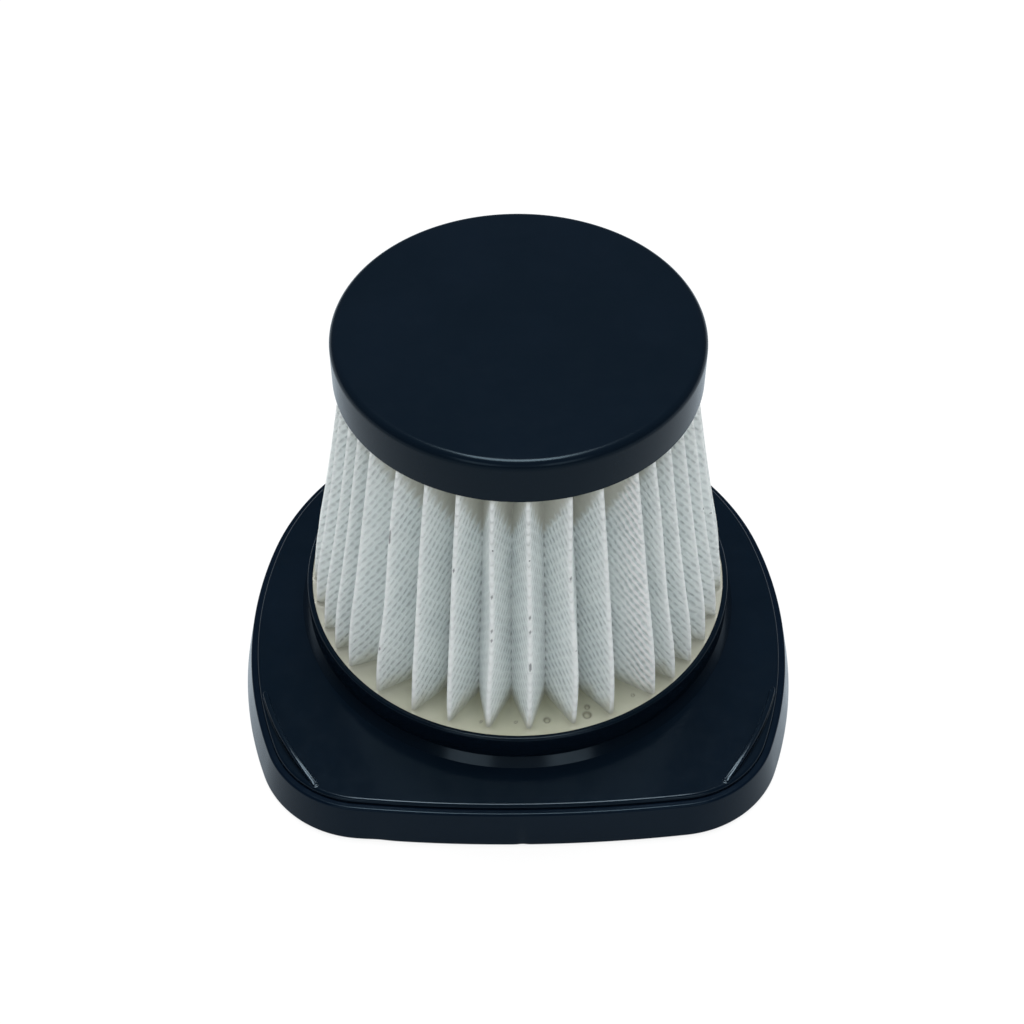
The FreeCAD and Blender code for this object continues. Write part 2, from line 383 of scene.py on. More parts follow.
def ring_faces(rings, points_per_ring, closed):
    """Quads between rings that follow one another; closed joins the last ring to the first."""
    here = np.arange(points_per_ring)
    after = (here + 1) % points_per_ring
    faces = []
    for ring in range(rings if closed else rings - 1):
        low = ring * points_per_ring
        high = (ring + 1) % rings * points_per_ring
        faces.append(np.column_stack([low + here, low + after, high + after, high + here]))
    return np.concatenate(faces).tolist()


def tube(rings, closed=True):
    """Points and faces of a tube of rings that all have the same number of points."""
    return np.concatenate(rings), ring_faces(len(rings), len(rings[0]), closed)


def capped(rings, first_z, last_z):
    """Points and faces of a tube closed at each end by a fan around a point on the axis."""
    points, faces = tube(rings, closed=False)
    points = np.concatenate([points, [(0, 0, first_z), (0, 0, last_z)]])
    steps = len(rings[0])
    tip = len(rings) * steps
    last = tip - steps
    for i in range(steps):
        j = (i + 1) % steps
        faces.append([tip, j, i])
        faces.append([tip + 1, last + i, last + j])
    return points, faces


def new_piece(name, points, faces, material, node, sharp=SHARP):
    """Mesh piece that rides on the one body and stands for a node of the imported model."""
    mesh = bpy.data.meshes.new(name)
    mesh.from_pydata(points.tolist(), [], faces)
    mesh.polygons.foreach_set("use_smooth", np.ones(len(mesh.polygons), bool))
    mesh.set_sharp_from_angle(angle=sharp)
    mesh.materials.append(material)
    mesh.update()
    piece = bpy.data.objects.new(name, mesh)
    bpy.context.scene.collection.objects.link(piece)
    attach(piece, "root")
    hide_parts(node)
    return piece


def set_attribute(piece, name, values):
    """One number for each point of a piece, for its material."""
    layer = piece.data.attributes.new(name, "FLOAT", "POINT")
    layer.data.foreach_set("value", np.asarray(values, np.float32))


def node_maker(owner):
    """Function that adds a node to a material or world and sets or links its inputs."""
    tree = owner.node_tree

    def add(kind, inputs=None, **settings):
        node = tree.nodes.new(kind)
        for key, value in settings.items():
            setattr(node, key, value)
        for key, value in (inputs or {}).items():
            if isinstance(value, bpy.types.NodeSocket):
                tree.links.new(value, node.inputs[key])
            else:
                node.inputs[key].default_value = value
        return node

    return add


def new_material(name):
    """Empty node material and its node adder."""
    material = bpy.data.materials.new(name)
    material.use_nodes = True
    material.node_tree.nodes.clear()
    return material, node_maker(material)


def ramp(add, value, low, high, low_to=0.0, high_to=1.0):
    """Smooth step of a value from one range to another."""
    limits = {"From Min": low, "From Max": high, "To Min": low_to, "To Max": high_to}
    node = add("ShaderNodeMapRange", {"Value": value, **limits}, interpolation_type="SMOOTHSTEP")
    return node.outputs["Result"]


def mix_colour(add, factor, first, second):
    """Mix of two colours by a factor."""
    inputs = {MIX_FACTOR: factor, MIX_FIRST: first, MIX_SECOND: second}
    return add("ShaderNodeMix", inputs, data_type="RGBA").outputs[MIX_RESULT]


def noise(add, place, scale, detail=3.0, roughness=0.55):
    """Noise texture's value at a scale in features per metre."""
    inputs = {"Vector": place, "Scale": scale, "Detail": detail, "Roughness": roughness}
    return add("ShaderNodeTexNoise", inputs).outputs["Fac"]


def math_node(add, operation, first, second=0.0):
    """Result of one operation on two numbers."""
    return add("ShaderNodeMath", {0: first, 1: second}, operation=operation).outputs[0]


def product(add, first, *others):
    """Product of two or more numbers."""
    for other in others:
        first = math_node(add, "MULTIPLY", first, other)
    return first


def vector_math(add, operation, *vectors):
    """Result of one operation on one or two vectors."""
    inputs = dict(enumerate(vectors))
    return add("ShaderNodeVectorMath", inputs, operation=operation).outputs[0]


def attribute(add, name):
    """Value of one of a piece's point attributes."""
    return add("ShaderNodeAttribute", attribute_name=name).outputs["Fac"]


def object_place(add):
    """Place on the piece in metres."""
    return add("ShaderNodeTexCoord").outputs["Object"]


def specks(add, place, scale, share, core, edge):
    """Round specks in a share of cells: 1 in the core of a speck and 0 past its edge."""
    cells = add("ShaderNodeTexVoronoi", {"Vector": place, "Scale": scale}, feature="F1")
    pick = add("ShaderNodeSeparateColor", {"Color": cells.outputs["Color"]}).outputs["Red"]
    chosen = ramp(add, pick, 1.0 - share, 1.0 - share + 0.002)
    near = ramp(add, cells.outputs["Distance"], core, edge, 1.0, 0.0)
    return product(add, chosen, near)


def surface(add, colour, roughness, specular, bump, tint=WHITE):
    """Principled shader of a material, joined to its output."""
    inputs = {
        "Base Color": colour,
        "Roughness": roughness,
        "Specular IOR Level": specular,
        "Specular Tint": tint,
        "Normal": bump.outputs["Normal"],
    }
    shader = add("ShaderNodeBsdfPrincipled", inputs)
    add("ShaderNodeOutputMaterial", {"Surface": shader.outputs["BSDF"]})


def black_plastic(
    name, dark, light, roughness, specular, tint, grain_scale, grain_height, speck_share
):
    """Bluish-black moulding with handling marks, fine grain and a few pale specks of dust."""
    material, add = new_material(name)
    place = object_place(add)
    clouds = noise(add, place, scale=55.0, detail=4.0)
    smears = noise(add, place, scale=240.0, detail=5.0, roughness=0.65)
    grain = noise(add, place, scale=grain_scale, detail=2.0)
    colour = mix_colour(add, ramp(add, clouds, 0.35, 0.7), dark, light)
    dust = specks(add, place, scale=420.0, share=speck_share, core=0.02, edge=0.05)
    colour = mix_colour(add, dust, colour, DUST_COLOUR)
    rough = ramp(add, smears, 0.3, 0.75, *roughness)
    bump = add("ShaderNodeBump", {"Height": grain, "Strength": 0.35, "Distance": grain_height})
    surface(add, colour, rough, specular, bump, tint)
    return material


def gloss_black():
    """Glossy moulding of the base frame."""
    return black_plastic(
        "gloss_black",
        dark=(0.0019, 0.0051, 0.0101, 1),
        light=(0.0024, 0.0059, 0.0117, 1),
        roughness=(0.13, 0.19),
        specular=0.15,
        tint=(0.65, 0.85, 1.0, 1),
        grain_scale=900.0,
        grain_height=0.003 * MM,
        speck_share=0.02,
    )


def satin_black():
    """Satin moulding of the cap."""
    return black_plastic(
        "satin_black",
        dark=(0.0026, 0.006, 0.0112, 1),
        light=(0.003, 0.0066, 0.0124, 1),
        roughness=(0.18, 0.23),
        specular=0.1,
        tint=(0.6, 0.85, 1.0, 1),
        grain_scale=3500.0,
        grain_height=0.005 * MM,
        speck_share=0.015,
    )


def seal_black():
    """Soft, slightly dull seal."""
    return black_plastic(
        "seal_black",
        dark=(0.0018, 0.0048, 0.0108, 1),
        light=(0.0022, 0.0056, 0.0122, 1),
        roughness=(0.17, 0.23),
        specular=0.1,
        tint=(0.55, 0.82, 1.0, 1),
        grain_scale=2800.0,
        grain_height=0.005 * MM,
        speck_share=0.03,
    )


def emboss_dots(add, place, start=(0.0, 0.0)):
    """Staggered slanting oval bonding dots: 1 in the middle of a dot and 0 between dots."""
    pitches = (DOT_PITCH_ACROSS, DOT_PITCH_ALONG, 0.0)
    sizes = (2 / DOT_LENGTH, 2 / DOT_WIDTH, 0.0)
    ovals = []
    for step in (0.0, 0.5):
        shifted = vector_math(add, "ADD", place, (start[0] + step, start[1] + step, 0.0))
        within = vector_math(add, "FRACTION", shifted)
        centred = vector_math(add, "SUBTRACT", within, (0.5, 0.5, 0.0))
        spread = vector_math(add, "MULTIPLY", centred, pitches)
        turned = add(
            "ShaderNodeVectorRotate",
            {"Vector": spread, "Angle": -DOT_TURN},
            rotation_type="Z_AXIS",
        )
        scaled = vector_math(add, "MULTIPLY", turned.outputs[0], sizes)
        oval = add("ShaderNodeVectorMath", {0: scaled}, operation="LENGTH")
        ovals.append(oval.outputs["Value"])
    nearest = math_node(add, "MINIMUM", ovals[0], ovals[1])
    return ramp(add, nearest, 0.0, DOT_FADE, 1.0, 0.0)


def strip_place(add, place):
    """Place on the flat strip in dot pitches, wandering a little as the dots do."""
    strip = add("ShaderNodeUVMap", uv_map="strip").outputs["UV"]
    inputs = {"Vector": place, "Scale": 320.0, "Detail": 2.0}
    wander = add("ShaderNodeTexNoise", inputs).outputs["Color"]
    wander = vector_math(add, "SUBTRACT", wander, (0.5, 0.5, 0.5))
    wander = vector_math(add, "MULTIPLY", wander, (0.7, 0.5, 0.0))
    return vector_math(add, "ADD", strip, wander)


def white_media():
    """White spun-bonded sheet: bonding dots, fibres, resin drawn in at its ends, dirt at folds,
    and painted shade, highlights and glints.
    """
    material, add = new_material("white_media")
    place = object_place(add)
    strip = strip_place(add, place)
    dots = emboss_dots(add, strip)
    fibres = noise(add, place, scale=2600.0, detail=4.0, roughness=0.7)
    patches = noise(add, place, scale=180.0)
    wet_shade = attribute(add, "wet_shade")
    crest = attribute(add, "crest")
    shine_and_glint = attribute(add, "shine_and_glint")
    colour = mix_colour(add, ramp(add, patches, 0.3, 0.7), MEDIA_DARK, MEDIA_LIGHT)
    sunk = product(add, dots, ramp(add, patches, 0.35, 0.65, 0.9, 0.5))
    colour = mix_colour(add, sunk, colour, DOT_COLOUR)
    # Painted glints: white dashes between the dots on the shiny wall, standing in for sparkling
    # reflections, also raised a little in the bump
    painted_glint = product(add, ramp(add, emboss_dots(add, strip, (0.5, 0.0)), 0.05, 0.3), shine_and_glint)
    colour = mix_colour(add, painted_glint, colour, WHITE)
    # Painted highlight: the fold crests lightened
    colour = mix_colour(add, product(add, crest, 0.8), colour, CREST_HIGHLIGHT_COLOUR)
    # Painted shade: the creases darkened, in beads along the rows of dots
    rows = add("ShaderNodeSeparateXYZ", {0: strip}).outputs["Y"]
    beads = ramp(add, math_node(add, "PINGPONG", rows, 0.5), 0.12, 0.3, 1.0, 0.35)
    crease_shade = product(add, attribute(add, "crease_shade"), beads)
    colour = mix_colour(add, crease_shade, colour, CREASE_SHADE_COLOUR)
    # Resin drawn down from the cap, darkened as painted shade under the cap
    colour = mix_colour(add, wet_shade, colour, WET_SHADE_COLOUR)
    colour = mix_colour(add, attribute(add, "soaked"), colour, SOAKED_COLOUR)
    dirt_zone = ramp(add, noise(add, place, scale=75.0), 0.53, 0.6)
    dirt = specks(add, place, scale=1300.0, share=0.035, core=0.25, edge=0.45)
    colour = mix_colour(add, product(add, dirt, dirt_zone, crest), colour, DIRT_COLOUR)
    grit = ramp(add, attribute(add, "grit"), 0.35, 0.85, 0.0, 0.8)
    colour = mix_colour(add, grit, colour, GRIT_COLOUR)
    height = math_node(add, "SUBTRACT", product(add, fibres, 0.3), dots)
    height = product(add, height, ramp(add, wet_shade, 0.0, 1.0, 1.0, 0.15))
    height = math_node(add, "ADD", height, product(add, painted_glint, 0.5))
    bump = add("ShaderNodeBump", {"Height": height, "Strength": 0.9, "Distance": 0.22 * MM})
    rough = ramp(add, dots, 0.0, 1.0, 0.62, 0.45)
    rough = math_node(add, "SUBTRACT", rough, product(add, shine_and_glint, 0.25))
    surface(add, colour, rough, 0.4, bump)
    return material


def cream_resin():
    """Set cream resin with a soft sheen, slight clouds, painted shade towards the sides and inside
    open bubbles.
    """
    material, add = new_material("cream_resin")
    place = object_place(add)
    clouds = noise(add, place, scale=130.0, detail=4.0)
    ripples = noise(add, place, scale=420.0, detail=2.0)
    colour = mix_colour(add, ramp(add, clouds, 0.3, 0.7), RESIN_DARK, RESIN_LIGHT)
    # Painted shade towards the left and right sides
    colour = mix_colour(add, attribute(add, "side_shade"), colour, SIDE_SHADE_COLOUR)
    # Painted shade in a ring inside each bubble
    colour = mix_colour(add, attribute(add, "pit_shade"), colour, PIT_SHADE_COLOUR)
    bump = add("ShaderNodeBump", {"Height": ripples, "Strength": 0.3, "Distance": 0.1 * MM})
    rough = ramp(add, clouds, 0.3, 0.7, 0.3, 0.42)
    surface(add, colour, rough, 0.4, bump)
    return material


def make_seal(material):
    """Soft flared skirt with rounded edges, a nick in its lower front edge and a shallow dent."""
    plate_edge = -SEAL_LEDGE
    profile = rounded(
        [
            (plate_edge, LEDGE_Z),
            (0.0, LEDGE_Z),
            (SEAL_FLARE, 0.0),
            (plate_edge - FLANGE_T, 0.0),
            (plate_edge - FLANGE_T, SOLE_Z),
            (plate_edge, SOLE_Z),
        ],
        [SEAL_LIP_EDGE, SEAL_EDGE, SEAL_FOOT_EDGE, SEAL_HEEL_EDGE, 0.0, 0.0],
    )
    points, faces = tube([d_ring(x, z) for x, z in profile])
    at_front = points[:, 1] < 0
    for place, width, height, depth in SEAL_MARKS:
        near = np.exp(-(((points[:, 0] - place) / width) ** 2) - (points[:, 2] / height) ** 2)
        points[:, 1] += np.where(at_front, depth * near, 0.0)
    new_piece("rim_seal_skirt", points, faces, material, "rim_seal")


def edge_radius(direction):
    """Distance from the axis to the edge of the plate in a direction."""
    edge = d_ring(-SEAL_LEDGE, PLATE_Z)
    angles = np.arctan2(edge[:, 1], edge[:, 0])
    order = np.argsort(angles)
    return np.interp(direction, angles[order], np.hypot(edge[order, 0], edge[order, 1]))


def rib_ring(centre, first, last, ends, inset, z, steps=40, end_steps=10):
    """Ring of points around the plan of a curved rib, inside its outline by an inset."""
    half = RIB_T / 2 - inset
    span = np.linspace(first, last, steps)
    turn = np.linspace(0, pi, end_steps + 2)[1:-1]
    parts = [
        centre + (RIB_R + half) * np.column_stack([np.cos(span), np.sin(span)]),
        ends[1] + half * np.column_stack([np.cos(last - turn), np.sin(last - turn)]),
        centre + (RIB_R - half) * np.column_stack([np.cos(span[::-1]), np.sin(span[::-1])]),
        ends[0] + half * np.column_stack([np.cos(first + pi - turn), np.sin(first + pi - turn)]),
    ]
    flat = np.concatenate(parts)
    along = RIB_R * (first - np.arctan2(*(flat - centre).T[::-1]))
    to_end = RIB_R * (first - last) - along
    drop = RIB_RAMP_DROP * np.clip(1 - to_end / RIB_RAMP, 0, 1) ** 2
    upper = max(0.0, z - PLATE_Z) / RIB_HEIGHT
    return np.column_stack([flat, z - drop * upper])


def rib_profile():
    """Inset and level of each ring of a rib: root, rounded foot, wall and rounded top edge."""
    top = PLATE_Z + RIB_HEIGHT
    levels = [(-RIB_FOOT, PLATE_Z - RIB_ROOT)]
    for step in range(RIB_FOOT_STEPS + 1):
        turn = step / RIB_FOOT_STEPS * pi / 2
        levels.append((-RIB_FOOT * (1 - sin(turn)), PLATE_Z + RIB_FOOT * (1 - cos(turn))))
    levels.append((0.0, top - RIB_EDGE * (1 + EDGE_SUPPORT)))
    for step in range(RIB_EDGE_STEPS + 1):
        turn = step / RIB_EDGE_STEPS * pi / 2
        levels.append((RIB_EDGE * (1 - cos(turn)), top - RIB_EDGE + RIB_EDGE * sin(turn)))
    return levels


def corner_rib():
    """Points and faces of the right front rib, its top running down at the front end."""
    ends = []
    for direction in (RIB_START, RIB_END):
        radius = edge_radius(direction) - RIB_INSET - RIB_T / 2
        ends.append(radius * np.array([cos(direction), sin(direction)]))
    chord = ends[0] - ends[1]
    along = atan2(chord[1], chord[0])
    rise = sqrt(RIB_R ** 2 - (chord @ chord) / 4)
    centre = (ends[0] + ends[1]) / 2 + rise * np.array([-sin(along), cos(along)])
    first = atan2(*(ends[0] - centre)[::-1])
    last = atan2(*(ends[1] - centre)[::-1])
    rings = [rib_ring(centre, first, last, ends, inset, z) for inset, z in rib_profile()]
    points, faces = tube(rings, closed=False)
    count = len(rings[0])
    faces.append(list(range(count))[::-1])
    faces.append(list(range(len(points) - count, len(points))))
    return points, faces


def make_base(material):
    """Plate with rounded edge, flange, collar, trough, outlet wall and corner ribs."""
    plate_edge = -SEAL_LEDGE
    flange_in = plate_edge - FLANGE_T
    collar_out = COLLAR_R + COLLAR_T
    under = PLATE_Z - PLATE_T
    edge = rounded(
        [(flange_in, SOLE_Z), (plate_edge, SOLE_Z), (plate_edge, PLATE_Z), (flange_in, PLATE_Z)],
        [0.0, 0.0, PLATE_EDGE, 0.0],
    )[1:-1]
    inner = rounded(
        [
            (collar_out + COLLAR_FOOT_OUT, PLATE_Z),
            (collar_out, PLATE_Z + COLLAR_FOOT_UP),
            (collar_out, COLLAR_Z),
            (COLLAR_R, COLLAR_Z),
            (COLLAR_R, PLATE_Z),
            (OUTLET_OUT_R, PLATE_Z),
            (OUTLET_OUT_R, COLLAR_Z),
            (OUTLET_R, COLLAR_Z),
            (OUTLET_R, under),
        ],
        [0.0, COLLAR_FOOT_EDGE, COLLAR_EDGE, WALL_EDGE, 0.0, 0.0, WALL_EDGE, WALL_EDGE, 0.0],
    )
    rings = [d_ring(x, z) for x, z in edge]
    rings += [round_ring(x, z) for x, z in inner]
    rings += [d_ring(flange_in, under), d_ring(flange_in, SOLE_Z)]
    points, faces = tube(rings)
    rib_points, rib_faces = corner_rib()
    for side in (1, -1):
        start = len(points)
        points = np.concatenate([points, rib_points * [side, 1, 1]])
        turned = rib_faces if side > 0 else [f[::-1] for f in rib_faces]
        faces = faces + [[i + start for i in f] for f in turned]
    new_piece("base_moulding", points, faces, material, "base_frame", BASE_SHARP)


def make_cap(material):
    """Round cap with a rounded upper edge and a hollow underside."""
    profile = rounded(
        [
            (0.0, CAP_Z),
            (CAP_R, CAP_Z),
            (CAP_R, CAP_LOW_Z),
            (CAP_INNER_R, CAP_LOW_Z),
            (CAP_INNER_R, CAP_UNDER_Z),
            (0.0, CAP_UNDER_Z),
        ],
        [0.0, CAP_ROUND, CAP_LIP, CAP_LIP, 0.0, 0.0],
        CAP_ROUND_STEPS,
    )
    angles = even_angles(CAP_STEPS)
    rings = [round_ring(r, z, angles) for r, z in profile[1:-1]]
    points, faces = capped(rings, CAP_Z, CAP_UNDER_Z)
    new_piece("end_cap", points, faces, material, "top_cap")


def media_scale(z):
    """Size of the zigzag at a level: whole at the upright foot, smaller up the cone."""
    foot = COLLAR_R - FOOT_PLAY
    mouth = CAP_INNER_R - MOUTH_PLAY
    knee = LOWER_RESIN_Z + UPRIGHT_FOOT
    bent = np.clip(z - knee + KNEE_REACH, 0, 2 * KNEE_REACH) ** 2 / (4 * KNEE_REACH)
    rise = np.where(z < knee + KNEE_REACH, bent, z - knee)
    return 1 - (1 - mouth / foot) * rise / (CAP_LOW_Z - knee)


def fold_directions(z):
    """Direction of each fold at a level, from the back round the left; even folds are outer."""
    folds = np.arange(-PLEATS, PLEATS)
    turn = pi * folds / PLEATS
    drifting = np.arange(-1, len(FOLD_DRIFT) + 1) - len(FOLD_DRIFT) // 2
    drift = np.interp(folds / 2, drifting, (0, *FOLD_DRIFT, 0))
    height = (z - LOWER_RESIN_Z) / (CAP_LOW_Z - LOWER_RESIN_Z)
    sway = FOLD_SWAY[0] * np.sin(2 * pi * (FOLD_SWAY[1] * height + FOLD_SWAY[2]))
    even = PLEAT_PHASE - pi / 2 + turn + PLEAT_CROWDING * np.sin(2 * turn)
    return even + np.radians(drift + sway)


def fold_radii(z, directions):
    """Distance of each fold from the axis, the foot pressed wider everywhere but in front."""
    scale = media_scale(z)
    tip_r = (COLLAR_R - FOOT_PLAY - MEDIA_T / 2) * scale
    from_front = np.arccos(np.clip(-np.sin(directions), -1, 1))
    share = np.clip((from_front - FOOT_SPREAD_FROM) / FOOT_SPREAD_OVER, 0, 1)
    spread = FOOT_SPREAD * np.clip(1 - (z - LOWER_RESIN_Z) / FOOT_SPREAD_REACH, 0, 1) ** 2
    tips = tip_r + spread * share ** 2 * (3 - 2 * share)
    return tips - PLEAT_DEPTH * scale * (np.arange(FOLDS) % 2)


def zigzag(z):
    """Zigzag with rounded folds through the middle of the sheet at one level."""
    scale = media_scale(z)
    directions = fold_directions(z)
    radii = fold_radii(z, directions)
    out = np.column_stack([np.cos(directions), np.sin(directions)])
    across = np.column_stack([-out[:, 1], out[:, 0]]) * FOLD_WIDTH * scale / 2
    first = out * radii[:, None] - across
    second = out * radii[:, None] + across
    walls = np.roll(first, -1, axis=0) - second
    walls /= np.linalg.norm(walls, axis=1)[:, None]
    blend = FOLD_BLEND * scale
    enter = first - np.roll(walls, 1, axis=0) * blend
    leave = second + walls * blend
    columns = []
    for t in np.linspace(0, 1, FOLD_STEPS + 1):
        s = 1 - t
        bend = s ** 3 * enter + 3 * s ** 2 * t * first + 3 * s * t ** 2 * second + t ** 3 * leave
        columns.append(bend)
    ahead = np.roll(enter, -1, axis=0)
    for step in range(1, WALL_STEPS):
        columns.append(leave + (ahead - leave) * step / WALL_STEPS)
    return np.stack(columns, axis=1).reshape(-1, 2)


def strip_levels():
    """Levels of the strip's rows, from its lower end in the resin to its upper end."""
    foot = np.linspace(media_low.z, LOWER_RESIN_Z, FOOT_ROWS + 1)[:-1]
    walls = np.linspace(LOWER_RESIN_Z, media_high.z, MEDIA_ROWS - FOOT_ROWS)
    return np.concatenate([foot, walls])


def strip_rings(levels, middle):
    """Rings of the strip: its outer skin from the foot up, then its inner skin back down."""
    ahead = np.roll(middle, -1, axis=1) - np.roll(middle, 1, axis=1)
    ahead /= np.linalg.norm(ahead, axis=2)[:, :, None]
    outward = np.stack([ahead[:, :, 1], -ahead[:, :, 0]], axis=2)
    skins = []
    for side in (1, -1):
        flat = middle + outward * (side * MEDIA_T / 2 * media_scale(levels))[:, None, None]
        heights = np.broadcast_to(levels[:, None, None], flat.shape[:2] + (1,))
        skins.append(np.concatenate([flat, heights], axis=2))
    return [*skins[0], *skins[1][::-1]]


def lengths_along(line):
    """Length along a closed line to each of its points, and at the end its whole length."""
    steps = np.linalg.norm(np.diff(line, axis=0, append=line[:1]), axis=1)
    return np.concatenate([[0], np.cumsum(steps)])


def lengths_up(levels):
    """Length up the slope of the strip to each level."""
    lean = np.diff(media_scale(levels)) * (COLLAR_R - FOOT_PLAY)
    return np.concatenate([[0], np.cumsum(np.hypot(np.diff(levels), lean))])


def map_strip(piece, from_tip, slant):
    """Texture map in dot pitches: away from the nearest outer fold, and up the slope."""
    uv = piece.data.uv_layers.new(name="strip")
    loop_points = np.zeros(len(piece.data.loops), np.int32)
    piece.data.loops.foreach_get("vertex_index", loop_points)
    ring, column = np.divmod(loop_points, len(from_tip))
    row = np.minimum(ring, 2 * len(slant) - 1 - ring)
    dots = np.column_stack([from_tip[column] / DOT_PITCH_ACROSS, slant[row] / DOT_PITCH_ALONG])
    uv.data.foreach_set("uv", dots.astype(np.float32).ravel())


def mark_strip(piece, levels, heights, from_tip):
    """Marks for the strip's material: resin at both ends with painted shade under the cap, folds
    with painted highlight and shade, one shiny wall with painted glints, and grit.
    """
    column = np.arange(len(heights)) % len(from_tip)
    depth = from_tip[column] / from_tip.max()
    fold = (column - FOLD_STEPS / 2) / FOLD_POINTS - PLEATS
    ragged = rng.normal(0, SOAKED_RAGGED, len(from_tip))[column]
    soaked = 1 - (heights - LOWER_RESIN_Z - SOAKED_FROM + ragged) / SOAKED_OVER
    set_attribute(piece, "soaked", SOAKED_MOST * np.clip(soaked, 0, 1))
    # Resin drawn down from the cap, with painted shade under it, reaching further down towards the
    # valleys
    wet_shade = (WET_SHADE_REACH + WET_SHADE_REACH_MORE * depth - CAP_LOW_Z + heights) / WET_SHADE_OVER
    set_attribute(piece, "wet_shade", WET_SHADE_MOST * np.clip(wet_shade, 0, 1))
    # Crests, for a painted highlight and for dirt
    set_attribute(piece, "crest", np.clip(1 - depth / FOLD_SHARE, 0, 1))
    # Creases, for painted shade
    set_attribute(piece, "crease_shade", np.clip(1 - (1 - depth) / FOLD_SHARE, 0, 1))
    # One wall with lower roughness and painted glints
    on_shiny_glint_wall = (fold > SHINY_GLINT_FOLD + 1) & (fold < SHINY_GLINT_FOLD + 2)
    set_attribute(piece, "shine_and_glint", on_shiny_glint_wall * np.clip(1.6 - 2.0 * depth, 0, 1))
    grit = np.zeros(len(heights))
    for tip, level in FOLD_GRIT:
        nearest = levels[np.argmin(np.abs(levels - level))]
        off_tip = np.abs(fold - 2 * tip) * FOLD_POINTS
        spot = np.where(heights == nearest, np.clip(1 - GRIT_FADE * off_tip, 0, 1), 0)
        grit = np.maximum(grit, spot)
    set_attribute(piece, "grit", grit)


def make_media(material):
    """One folded strip closed to a cone, with rounded folds and slightly uneven walls."""
    levels = strip_levels()
    middle = np.stack([zigzag(z) for z in levels])
    points, faces = tube(strip_rings(levels, middle))
    piece = new_piece(
        "pleated_strip", points, faces, material, "pleated_media", MEDIA_SHARP
    )
    along = lengths_along(middle[FOOT_ROWS])
    length = along[-1]
    tips = along[FOLD_STEPS // 2 : -1 : 2 * FOLD_POINTS]
    apart = np.abs(along[:-1, None] - tips[None, :])
    from_tip = np.minimum(apart, length - apart).min(axis=1)
    slant = lengths_up(levels)
    map_strip(piece, from_tip, slant)
    mark_strip(piece, levels, points[:, 2], from_tip)


def distance_to_media(points, z):
    """Distance in plan from points to the sheet's surface at a level."""
    line = zigzag(z)
    best = np.full(len(points), np.inf)
    for start, span in zip(line, np.roll(line, -1, axis=0) - line):
        t = np.clip(((points - start) @ span) / (span @ span), 0, 1)
        best = np.minimum(best, np.hypot(*(points - start - t[:, None] * span).T))
    return np.maximum(0.0, best - MEDIA_T / 2)


def meniscus(away, size):
    """Rise of the resin at a distance from a wall, from its height there and its reach."""
    height, reach = size
    return height * np.exp(-away / reach)


def make_lower_resin(material):
    """Ring of resin in the trough with a meniscus at every wall and a few open bubbles."""
    angles = even_angles(LOWER_RESIN_STEPS)
    radii = np.linspace(OUTLET_OUT_R, COLLAR_R, LOWER_RESIN_RINGS)
    top = np.concatenate([round_ring(r, LOWER_RESIN_Z, angles) for r in radii])
    radius = np.hypot(top[:, 0], top[:, 1])
    to_wall = np.minimum(COLLAR_R - radius, radius - OUTLET_OUT_R)
    rise = meniscus(distance_to_media(top[:, :2], LOWER_RESIN_Z), LOWER_MENISCUS)
    rise += meniscus(to_wall, WALL_MENISCUS)
    pit_shade = np.zeros(len(top))
    for distance, direction, size in BUBBLES:
        centre = distance * np.array([cos(direction), sin(direction)])
        off = np.hypot(*(top[:, :2] - centre).T) / size
        rise -= BUBBLE_DEPTH * size * np.clip(1 - off ** 2, 0, 1)
        rise += BUBBLE_LIP * size * np.exp(-((off - BUBBLE_LIP_AT) / BUBBLE_BAND) ** 2)
        # Painted shade in a ring on the inner wall of the bubble
        pit_shade = np.maximum(pit_shade, np.exp(-((off - BUBBLE_SHADE_AT) / BUBBLE_BAND) ** 2))
    top[:, 2] += rise - LOWER_RESIN_SINK
    low = [round_ring(r, PLATE_Z, angles) for r in (COLLAR_R, OUTLET_OUT_R)]
    points, faces = tube([*np.split(top, len(radii)), *low])
    piece = new_piece("cast_lower_resin", points, faces, material, "lower_potting")
    set_attribute(piece, "pit_shade", np.pad(PIT_SHADE_MOST * pit_shade, (0, len(points) - len(pit_shade))))
    # Painted shade, growing towards the left and right sides
    set_attribute(piece, "side_shade", np.abs(points[:, 0] / COLLAR_R) ** SIDE_SHADE_POWER)


def make_upper_resin(material):
    """Disc of resin inside the cap with a meniscus along the strip."""
    angles = even_angles(UPPER_RESIN_STEPS)
    radii = np.linspace(CAP_INNER_R, UPPER_RESIN_EYE, UPPER_RESIN_RINGS)
    under = np.concatenate([round_ring(r, UPPER_RESIN_Z, angles) for r in radii])
    under[:, 2] -= meniscus(distance_to_media(under[:, :2], UPPER_RESIN_Z), UPPER_MENISCUS)
    rings = [round_ring(CAP_INNER_R, CAP_UNDER_Z, angles), *np.split(under, len(radii))]
    points, faces = capped(rings, CAP_UNDER_Z, UPPER_RESIN_Z)
    new_piece("cast_upper_resin", points, faces, material, "upper_potting")


